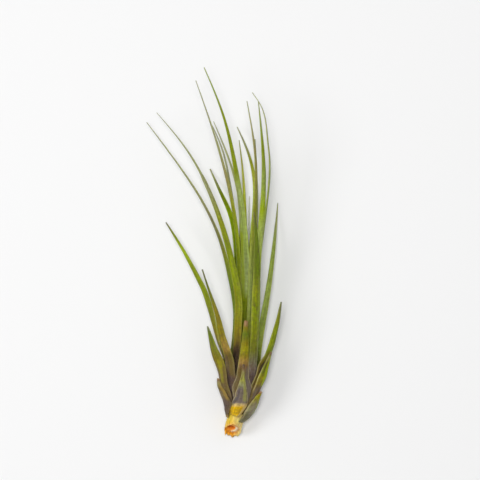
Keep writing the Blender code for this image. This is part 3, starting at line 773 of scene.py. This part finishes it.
# painted light and shade: the channel and milky greens lighten its deep, shaded channel as painted light,
# and the shade-green band along one margin is painted shade
leaves["leaf_centre_longest"] = {
    "sheath": (180, 0, "g", 32, 32), "blade": (6.3, 0.7, 1.35, 180),
    "way": [(3.2, 55.0, 17.0), (2.4, 70.4, 20.2), (0.3, 92.0, 25.0), (-3.2, 113.3, 29.2),
        (-8.3, 135.0, 32.6), (-19.2, 162.6, 34.0)],
    "fine": 0.8,
    "bands": [(0.65, 0.5, "acidGreen", 0.7, 38, 74), (0.65, 0.45, "moss", 0.5, 80, 100),
        (-0.97, 0.12, "shadeGreen", 0.8, 40, 70)],
    "tones": {-12: "umber", 32: "leafGreen", 38: "leafGreen", 44: "channelGreen", 58: "channelGreen",
        68: "milkyGreen", 81: "milkyGreen", 96: "greyGreen", 108: "leafGreen", 140: "leafGreen",
        152: "softGreen", 162.6: "paleOlive"},
}
leaves["leaf_left_upper"] = {
    "sheath": (-55, 0, "g", 26, 34), "blade": (4.2, 0.7, 1.35, -35),
    "way": [(-1.3, 54.0, 23.3), (-1.8, 68.0, 24.6), (-3.6, 85.0, 27.4), (-7.2, 102.6, 29.8),
        (-13.1, 124.0, 32.0), (-23.8, 155.7, 33.0)],
    "tones": {-12: "brownSheath", 34: "shadeGreen", 60: "leafGreen", 76: "leafGreen", 88: "olive",
        104: "brownOlive", 120: "moss", 155.7: "dustTip"},
}
leaves["leaf_heart_right"] = {
    "sheath": (27, 0, "h", 26, 34), "blade": (3.3, 0.6, 0.85, 30),
    "way": [(6.1, 50.0, 24.0), (7.2, 70.4, 25.8), (8.6, 92.0, 28.6), (8.6, 113.0, 30.6),
        (3.8, 144.9, 30.5)],
    "tones": {-10: "brownSheath", 16: "olive", 40: "greyGreen", 80: "olive", 118: "brownOlive",
        144.9: "ashTip"},
}
leaves["leaf_heart_short"] = {
    "sheath": (88, 0, "h", 20, 34), "blade": (2.4, 0.6, 0.6, 75),
    "way": [(8.5, 52.0, 20.6), (9.2, 70.4, 22.4), (9.7, 94.6, 25.8), (8.3, 124.7, 27.3)],
    "tones": {-10: "brownSheath", 40: "olive", 90: "paleOlive", 124.7: "ashTip"},
}
leaves["leaf_heart_young"] = {
    "sheath": (-100, 0, "h", 16, 30), "blade": (2.2, 0.6, 0.6, -95),
    "way": [(-1.4, 50.0, 20.6), (-1.2, 72.0, 21.6)],
    "tones": {-10: "brownSheath", 40: "deepGreen", 72: "leafGreen"},
}


def growLeaf(node, leaf, tree, seed):
    sections = leafSections(leaf)
    centres = np.array([section["centre"] for section in sections])
    mesh = bpy.data.meshes.new(node + "_spine")
    mesh.from_pydata((centres * mm).tolist(), [], [])
    steps = np.linalg.norm(np.diff(centres, axis=0), axis=1)
    numbers = {name: [section[name] * mm for section in sections] for name in ("width", "thickness", "tuck")}
    numbers["curl"] = [section["curl"] for section in sections]
    numbers["fromBase"] = (np.concatenate([[0.0], np.cumsum(steps)]) * mm).tolist()
    for name, values in numbers.items():
        mesh.attributes.new(name, "FLOAT", "POINT").data.foreach_set("value", values)
    for name in ("outward", "across", "forward"):
        values = np.array([section[name] for section in sections], float).ravel()
        mesh.attributes.new(name, "FLOAT_VECTOR", "POINT").data.foreach_set("vector", values)
    piece = newPiece(node + "_dressed", mesh)
    modifier = piece.modifiers.new("leaf", "NODES")
    modifier.node_group = tree
    inputs = {
        "Points round": blade["pointsRound"],
        "Wave height": blade["waveHeight"] * mm,
        "Wave length": blade["waveLength"] * mm,
        "Torn end": leaf.get("torn", 0.0) * mm,
        "Floor": 0.0,
        "Seed": float(seed),
        "Skin": leafSkin(node + "_skin", leaf, seed * 1.7),
    }
    for socket in tree.interface.items_tree:
        if socket.name in inputs:
            modifier[socket.identifier] = inputs[socket.name]
    return settle(piece)


leafTree = makeLeafTree()
for seed, (node, leaf) in enumerate(leaves.items()):
    piece = growLeaf(node, leaf, leafTree, seed + 1)
    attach(piece, "root")
    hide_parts(node)
print("leaves grown:", len(leaves))


# The stem is a short torn stub whose hollow faces the camera
torn = {
    "sides": 72,
    "outerRows": 34,
    "rowPower": 0.8,
    "faceRows": 7,
    "lowestRim": -38.4,
    "highestRim": -24.0,
    # height of the ragged rim and how finely it is torn
    "ragged": [(0.5, 3), (0.35, 9)],
    "fibreRelief": 0.3,
    "faceFibres": (5, 3),
    "hollowFibres": (4.5, 1.5),
    "flatLeft": 0.12,
    "flatFrom": -20,
    "flatOver": 4,
    # each flap's turn, half its width and its reach
    "flaps": [(-125, 16, 1.5), (172, 20, 0.7), (-60, 14, 0.5)],
    "grooveDepth": 0.9,
    "funnel": [(2.75, 0.1), (2.3, 0.6), (2.0, 1.3), (1.8, 2.2), (1.4, 3.1), (0.8, 3.7)],
    "mouthShift": -0.5,
    "hollowShift": (-0.4, 0.3),
    # "inside" is 0 on the skin, this much at the rim and 1 at the bottom of the hollow
    "rimInside": 0.4,
    "rimPower": 14,
}

flesh = {
    # from the skin over the rim at 0.4 to the bottom of the hollow
    "stops": [
        (0.0, "dcc244"), (0.25, "d8ae2c"), (0.4, "f6c468"), (0.47, "ee9c08"), (0.56, "d67e00"),
        (0.68, "e09018"), (0.75, "ea9c20"), (0.8, "e68a08"), (0.88, "cc6600"), (1.0, "842c00"),
    ],
    "wallColour": "dccb80",
    "wallFromX": -4.5,
    "wallToX": -0.9,
    "wallShare": 0.85,
    "wallInside": (0.7, 0.45),
    # the lip entries lay a near-white painted highlight on the lower right of the hollow's lip
    "lipColour": "fdeccb",
    "lipY": -31,
    "lipSlant": 0.8,
    "lipFrom": -3.4,
    "lipTo": -1.4,
    "lipShare": 0.95,
    "lipInside": [(0.58, 0.7), (0.82, 0.76)],
    # cells round the half of the stem and from the skin to the bottom, and the seed
    "fibres": (26, 2.5, 4.0),
    "fibreLight": (0.32, 0.68, 0.7, 1.25),
    "fibreDepth": 0.25,
    "stainColour": "a0621c",
    "stainsPerMetre": 330.0,
    "stainShows": (0.55, 0.75, 0.0, 0.5),
}


def stemSkin():
    # torn living stem: waxy yellow skin outside, moist orange fibre on the break,
    # dark red-brown deep in the hollow
    material, tree, shader = newFinish("tornStemFlesh", {
        "Roughness": 0.42, "Specular IOR Level": 0.25,
        "Subsurface Weight": 0.2, "Subsurface Radius": (1.0, 0.5, 0.12), "Subsurface Scale": 1.5 * mm,
    })
    add = partial(addNode, tree)
    place = add("TexCoord").outputs["Object"]
    spot = add("SeparateXYZ", place).outputs
    inside, around = (add("Attribute", attribute_name=label).outputs["Fac"]
                      for label in ("inside", "around"))
    colour = add("ValToRGB", inside)
    setStops(colour, flesh["stops"])
    # the right-hand wall is pale and dry, the left-hand one orange
    limits = flesh["wallFromX"] * mm, flesh["wallToX"] * mm, 0.0, flesh["wallShare"]
    wall = add("MapRange", spot["X"], *limits)
    wall = add("MULTIPLY", wall, add("MapRange", inside, *flesh["wallInside"]))
    # a painted highlight lies on the lip of the hollow, on its lower right
    slant = add("SUBTRACT", spot["Y"], flesh["lipY"] * mm)
    slant = add("MULTIPLY", slant, flesh["lipSlant"])
    slant = add("SUBTRACT", spot["X"], slant)
    limits = flesh["lipFrom"] * mm, flesh["lipTo"] * mm, 0.0, flesh["lipShare"]
    lip = add("MapRange", slant, *limits)
    for limits in flesh["lipInside"]:
        lip = add("MULTIPLY", lip, add("MapRange", inside, *limits))
    # fibres run down the break, and stains lie over them
    x, y = (add("MULTIPLY", *pair) for pair in zip((around, inside), flesh["fibres"]))
    fibreAt = add("CombineXYZ", x, y, flesh["fibres"][2])
    fibres = add("TexNoise", {"Vector": fibreAt, "Scale": 1.0, "Detail": 3.0})
    light = add("MapRange", fibres, *flesh["fibreLight"])
    inputs = {"Vector": place, "Scale": flesh["stainsPerMetre"], "Detail": 3.0}
    stain = add("TexNoise", inputs)
    stain = add("MapRange", stain, *flesh["stainShows"])
    for label, share in (("wall", wall), ("lip", lip)):
        inputs = {0: share, 6: colour, 7: linearColour(flesh[label + "Colour"])}
        colour = add("Mix", inputs, data_type="RGBA").outputs[2]
    colour = add("HueSaturation", {"Value": light, "Color": colour})
    inputs = {0: stain, 6: colour, 7: linearColour(flesh["stainColour"])}
    colour = add("Mix", inputs, data_type="RGBA").outputs[2]
    tree.links.new(colour, shader["Base Color"])
    inputs = {"Strength": 0.8, "Distance": flesh["fibreDepth"] * mm, "Height": fibres}
    tree.links.new(add("Bump", inputs).outputs[0], shader["Normal"])
    return material


def makeStem():
    faces = unit(np.array(stem["breakFaces"]))
    middle = np.array(stem["breakMiddle"])
    hollow = np.array(stem["hollowMiddle"])
    hollow = hollow - faces * np.dot(hollow - middle, faces)
    planeRight = unit(np.array([1.0, 0.0, 0.0]) - faces[0] * faces)
    planeUp = np.cross(faces, planeRight)
    hollow = hollow + torn["mouthShift"] * planeRight
    top = stem["radii"][-1][0]
    count = torn["sides"]
    turns = [2 * math.pi * j / count for j in range(count)]

    def wall(level, turn):
        centre, along = axisFrame(level)
        flat = torn["flatLeft"] * max(0.0, -math.sin(turn))
        flat *= ease((torn["flatFrom"] - level) / torn["flatOver"])
        return centre + stemRadius(level) * (1 - flat) * radial(along, math.degrees(turn))

    def isBeyond(level, turn, rough):
        return np.dot(wall(level, turn) - middle, faces) > rough

    # the wall ends where it meets the break
    rims = []
    for turn in turns:
        spot = Vector((math.cos(turn), math.sin(turn), 0.5))
        rough = sum(height * noise.noise(spot * cells) for height, cells in torn["ragged"])
        for flapTurn, halfWidth, reach in torn["flaps"]:
            away = abs((math.degrees(turn) - flapTurn + 180) % 360 - 180)
            rough += reach * ease(1 - away / halfWidth)
        beyond = partial(isBeyond, turn=turn, rough=rough)
        rims.append(halved(torn["lowestRim"], torn["highestRim"], beyond))
    rings = []
    for i in range(torn["outerRows"]):
        share = (i / (torn["outerRows"] - 1)) ** torn["rowPower"]
        rings.append([wall(mix(top, level, share), turn) for level, turn in zip(rims, turns)])
    rim = rings[-1]
    mouth = [point - hollow for point in rim]
    angles = [math.atan2(np.dot(flat, planeUp), np.dot(flat, planeRight)) for flat in mouth]
    spokes = [math.cos(angle) * planeRight + math.sin(angle) * planeUp for angle in angles]
    # the break runs from the rim to the mouth of the hollow
    cells, rowCells = torn["faceFibres"]
    radius, depth = torn["funnel"][0]
    for i in range(1, torn["faceRows"] + 1):
        share = i / torn["faceRows"]
        swell = math.sin(math.pi * share)
        ring = []
        for point, angle, spoke in zip(rim, angles, spokes):
            spot = Vector((cells * math.cos(angle), cells * math.sin(angle), rowCells * share))
            # a groove parts the outer wall from the core in the lower half
            groove = torn["grooveDepth"] * ease(0.5 - math.sin(angle))
            sink = (torn["fibreRelief"] * noise.noise(spot) - groove) * swell - depth * share
            ring.append(mix(point, hollow + radius * spoke, share) + faces * sink)
        rings.append(ring)
    cells, rowCells = torn["hollowFibres"]
    for i, (radius, depth) in enumerate(torn["funnel"][1:], 1):
        deeper = i / len(torn["funnel"])
        shift = deeper * (torn["hollowShift"][0] * planeRight + torn["hollowShift"][1] * planeUp)
        ring = []
        for angle, spoke in zip(angles, spokes):
            spot = Vector((cells * math.cos(angle), cells * math.sin(angle), rowCells * deeper))
            ragged = 1 + torn["fibreRelief"] * noise.noise(spot) * (1 - deeper)
            ring.append(hollow + radius * ragged * spoke + shift - faces * depth)
        rings.append(ring)
    points = [point * mm for ring in rings for point in ring]
    tip, bottom = len(points), len(points) + 1
    points += [axisFrame(top)[0] * mm, (hollow + shift - faces * stem["hollowDepth"]) * mm]
    polygons = [(tip, (j + 1) % count, j) for j in range(count)]
    for i in range(0, tip - count, count):
        for j in range(count):
            after = (j + 1) % count
            polygons.append((i + j, i + after, i + count + after, i + count + j))
    last = tip - count
    polygons += [(last + j, last + (j + 1) % count, bottom) for j in range(count)]
    mesh = bpy.data.meshes.new("stem_dressed")
    mesh.from_pydata([tuple(point) for point in points], [], polygons)
    outer, inner = torn["outerRows"], len(rings) - torn["outerRows"]
    depths = [torn["rimInside"] * (i / (outer - 1)) ** torn["rimPower"] for i in range(outer)]
    depths += [mix(torn["rimInside"], 1, i / inner) for i in range(1, inner + 1)]
    around = [abs(2 * j / count - 1) for j in range(count)] * len(rings)
    inside = [value for value in depths for _ in range(count)]
    for name, values in (("inside", inside + [0.0, 1.0]), ("around", around + [0.5, 0.5])):
        mesh.attributes.new(name, "FLOAT", "POINT").data.foreach_set("value", values)
    mesh.shade_smooth()
    mesh.materials.append(stemSkin())
    return newPiece("stem_dressed", mesh)


stemPiece = makeStem()
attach(stemPiece, "root")
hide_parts("stem")
print("stem made")


# Floor, light and camera, in metres
studio = {
    "floorColour": "ececec",
    "floorSize": 3.0,
    "floorDrop": 0.0001,
    "worldStrength": 0.31,
    "lampTarget": (0.0, 0.06, 0.0),
    # each lamp's power, its diameter and its place
    "lamps": {
        "overhead": (11.2, 0.35, (-0.06, 0.14, 1.45)),
        "key": (13.6, 0.9, (-1.4, -0.08, 1.4)),
        "fill": (1.2, 0.9, (0.55, 0.75, 0.9)),
    },
    "cameraHeight": 1.2,
    "sensorWidth": 36.0,
    "viewWidth": 0.264,
    "viewMiddle": (0.0, 0.0704),
}


def makeStudio():
    size, drop = studio["floorSize"], studio["floorDrop"]
    corners = [(-size, -size, -drop), (size, -size, -drop), (size, size, -drop), (-size, size, -drop)]
    mesh = bpy.data.meshes.new("floor")
    mesh.from_pydata(corners, [], [(0, 1, 2, 3)])
    # matt white paper: it shows the soft shadows and no shine
    paper = {"Base Color": linearColour(studio["floorColour"]), "Roughness": 0.9, "Specular IOR Level": 0.1}
    mesh.materials.append(newFinish("whitePaper", paper)[0])
    floor = newPiece("floor", mesh)
    world = bpy.data.worlds.new("softRoom")
    world.use_nodes = True
    background = world.node_tree.nodes["Background"]
    background.inputs["Color"].default_value = (1.0, 1.0, 1.0, 1.0)
    background.inputs["Strength"].default_value = studio["worldStrength"]
    scene.world = world
    target = Vector(studio["lampTarget"])
    for name, (power, size, place) in studio["lamps"].items():
        light = bpy.data.lights.new(name, "AREA")
        light.energy = power
        light.shape = "DISK"
        light.size = size
        lamp = newPiece(name, light)
        lamp.location = place
        lamp.rotation_euler = (target - lamp.location).to_track_quat("-Z", "Y").to_euler()
    data = bpy.data.cameras.new("camera")
    data.sensor_width = studio["sensorWidth"]
    data.lens = studio["sensorWidth"] * studio["cameraHeight"] / studio["viewWidth"]
    data.clip_start = 0.01
    scene.camera = newPiece("camera", data)
    scene.camera.location = (*studio["viewMiddle"], studio["cameraHeight"])
    scene.view_settings.view_transform = "Standard"


makeStudio()
print("studio ready")
